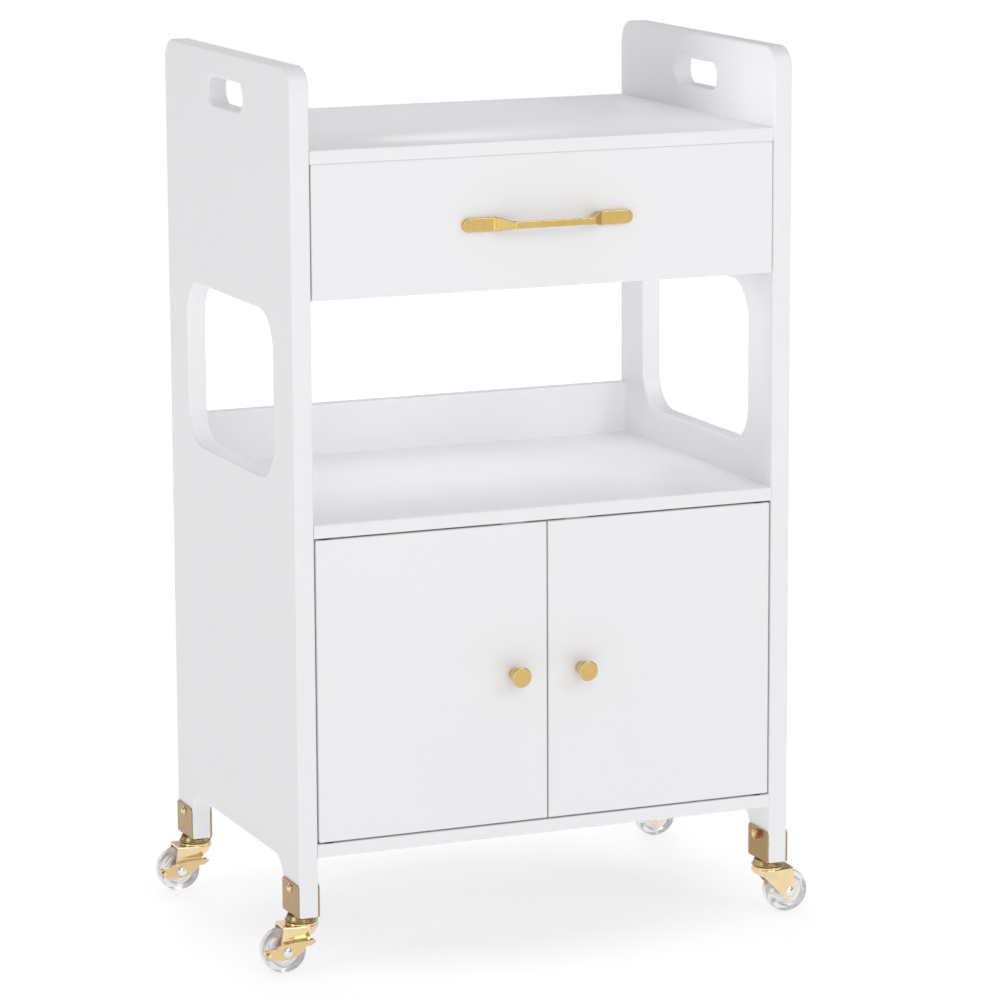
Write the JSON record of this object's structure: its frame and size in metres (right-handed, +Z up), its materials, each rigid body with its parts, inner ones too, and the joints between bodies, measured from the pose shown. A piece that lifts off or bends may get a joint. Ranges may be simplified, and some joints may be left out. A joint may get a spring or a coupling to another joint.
{
  "type": "salon trolley",
  "caption": "Tall storage trolley on casters with a top tray board, a drawer, an open bay and a cupboard between side panels with windows and hand slots",
  "frame": {"origin": "on the floor, in the middle of the whole width and depth", "axes": "+Z up, +Y towards the back, +X to the right as seen from the front"},
  "size_m": [0.5324, 0.351, 0.797],
  "materials": {
    "white_paint": "satin white paint on MDF",
    "gold": "satin gold plating",
    "clear_plastic": "clear, polished",
    "zinc": "bright zinc",
    "slide_steel": "zinc-plated sheet",
    "axle_metal": "bright",
    "white_nylon": "matte",
    "dark_nylon": "matte"
  },
  "bodies": {
    "carcass": {"side_panel_left": "white_paint", "side_panel_right": "white_paint", "top_board": "white_paint", "upper_back_board": "white_paint", "middle_shelf": "white_paint", "back_rail": "white_paint", "bottom_board": "white_paint", "cupboard_back": "white_paint", "cam_locks": "zinc", "cam_bolts": "zinc", "pivot_bushes": "dark_nylon", "door_catches": "white_nylon", "slide_cabinet_member_left": "slide_steel", "slide_cabinet_member_right": "slide_steel", "slide_panel_screws": "zinc", "strap_bolts": "gold", "strap_nuts": "gold", "swivel_saucers": "gold", "swivel_washers": "dark_nylon", "kingpins": "zinc", "caster_strap_front_left": "gold", "caster_strap_front_right": "gold", "caster_strap_rear_left": "gold", "caster_strap_rear_right": "gold"},
    "slide_middles": {"slide_middle_member_left": "slide_steel", "slide_middle_member_right": "slide_steel"},
    "drawer": {"drawer_front": "white_paint", "drawer_side_left": "white_paint", "drawer_side_right": "white_paint", "drawer_back": "white_paint", "drawer_bottom": "white_paint", "drawer_handle": "gold", "handle_screws": "zinc", "slide_drawer_member_left": "slide_steel", "slide_drawer_member_right": "slide_steel", "slide_drawer_screws": "zinc"},
    "left_door_set": {"door_left": "white_paint", "knob_left": "gold", "knob_screw_left": "zinc", "strike_plate_left": "zinc", "door_pivot_pins_left": "zinc"},
    "right_door_set": {"door_right": "white_paint", "knob_right": "gold", "knob_screw_right": "zinc", "strike_plate_right": "zinc", "door_pivot_pins_right": "zinc"},
    "swivel_front_left": {"fork_front_left": "gold", "axle_front_left": "axle_metal"},
    "rolling_front_left": {"wheel_front_left": "clear_plastic"},
    "brake_front_left": {"brake_lever_front_left": "gold"},
    "swivel_front_right": {"fork_front_right": "gold", "axle_front_right": "axle_metal"},
    "rolling_front_right": {"wheel_front_right": "clear_plastic"},
    "swivel_rear_left": {"fork_rear_left": "gold", "axle_rear_left": "axle_metal"},
    "rolling_rear_left": {"wheel_rear_left": "clear_plastic"},
    "brake_rear_left": {"brake_lever_rear_left": "gold"},
    "swivel_rear_right": {"fork_rear_right": "gold", "axle_rear_right": "axle_metal"},
    "rolling_rear_right": {"wheel_rear_right": "clear_plastic"}
  },
  "joints": [
    {"name": "drawer_slide", "type": "slide", "parent": "carcass", "child": "drawer", "axis": [0, -1, 0], "range_m": [0, 0.23]},
    {"name": "slide_middles_slide", "type": "slide", "parent": "carcass", "child": "slide_middles", "axis": [0, -1, 0], "range_m": [0, 0.115]},
    {"name": "door_hinge_left", "type": "hinge", "parent": "carcass", "child": "left_door_set", "pos_m": [-0.2076, -0.1495, 0.2533], "axis": [0, 0, -1], "range_deg": [0, 110]},
    {"name": "door_hinge_right", "type": "hinge", "parent": "carcass", "child": "right_door_set", "pos_m": [0.2076, -0.1495, 0.2533], "axis": [0, 0, 1], "range_deg": [0, 110]},
    {"name": "swivel_turn_front_left", "type": "hinge", "parent": "carcass", "child": "swivel_front_left", "pos_m": [-0.228, -0.1348, 0.0448], "axis": [0, 0, 1], "continuous": true},
    {"name": "wheel_roll_front_left", "type": "hinge", "parent": "swivel_front_left", "child": "rolling_front_left", "pos_m": [-0.2455, -0.1348, 0.02], "axis": [0, 1, 0], "continuous": true},
    {"name": "brake_release_front_left", "type": "hinge", "parent": "swivel_front_left", "child": "brake_front_left", "pos_m": [-0.2455, -0.1348, 0.02], "axis": [0, 1, 0], "range_deg": [0, 20]},
    {"name": "swivel_turn_front_right", "type": "hinge", "parent": "carcass", "child": "swivel_front_right", "pos_m": [0.228, -0.1348, 0.0448], "axis": [0, 0, 1], "continuous": true},
    {"name": "wheel_roll_front_right", "type": "hinge", "parent": "swivel_front_right", "child": "rolling_front_right", "pos_m": [0.2455, -0.1348, 0.02], "axis": [0, 1, 0], "continuous": true},
    {"name": "swivel_turn_rear_left", "type": "hinge", "parent": "carcass", "child": "swivel_rear_left", "pos_m": [-0.228, 0.1548, 0.0448], "axis": [0, 0, 1], "continuous": true},
    {"name": "wheel_roll_rear_left", "type": "hinge", "parent": "swivel_rear_left", "child": "rolling_rear_left", "pos_m": [-0.2455, 0.1548, 0.02], "axis": [0, 1, 0], "continuous": true},
    {"name": "brake_release_rear_left", "type": "hinge", "parent": "swivel_rear_left", "child": "brake_rear_left", "pos_m": [-0.2455, 0.1548, 0.02], "axis": [0, 1, 0], "range_deg": [0, 20]},
    {"name": "swivel_turn_rear_right", "type": "hinge", "parent": "carcass", "child": "swivel_rear_right", "pos_m": [0.228, 0.1548, 0.0448], "axis": [0, 0, 1], "continuous": true},
    {"name": "wheel_roll_rear_right", "type": "hinge", "parent": "swivel_rear_right", "child": "rolling_rear_right", "pos_m": [0.2455, 0.1548, 0.02], "axis": [0, 1, 0], "continuous": true}
  ],
  "couplings": [
    {"joint": "slide_middles_slide", "follows": "drawer_slide", "ratio": 0.5}
  ]
}
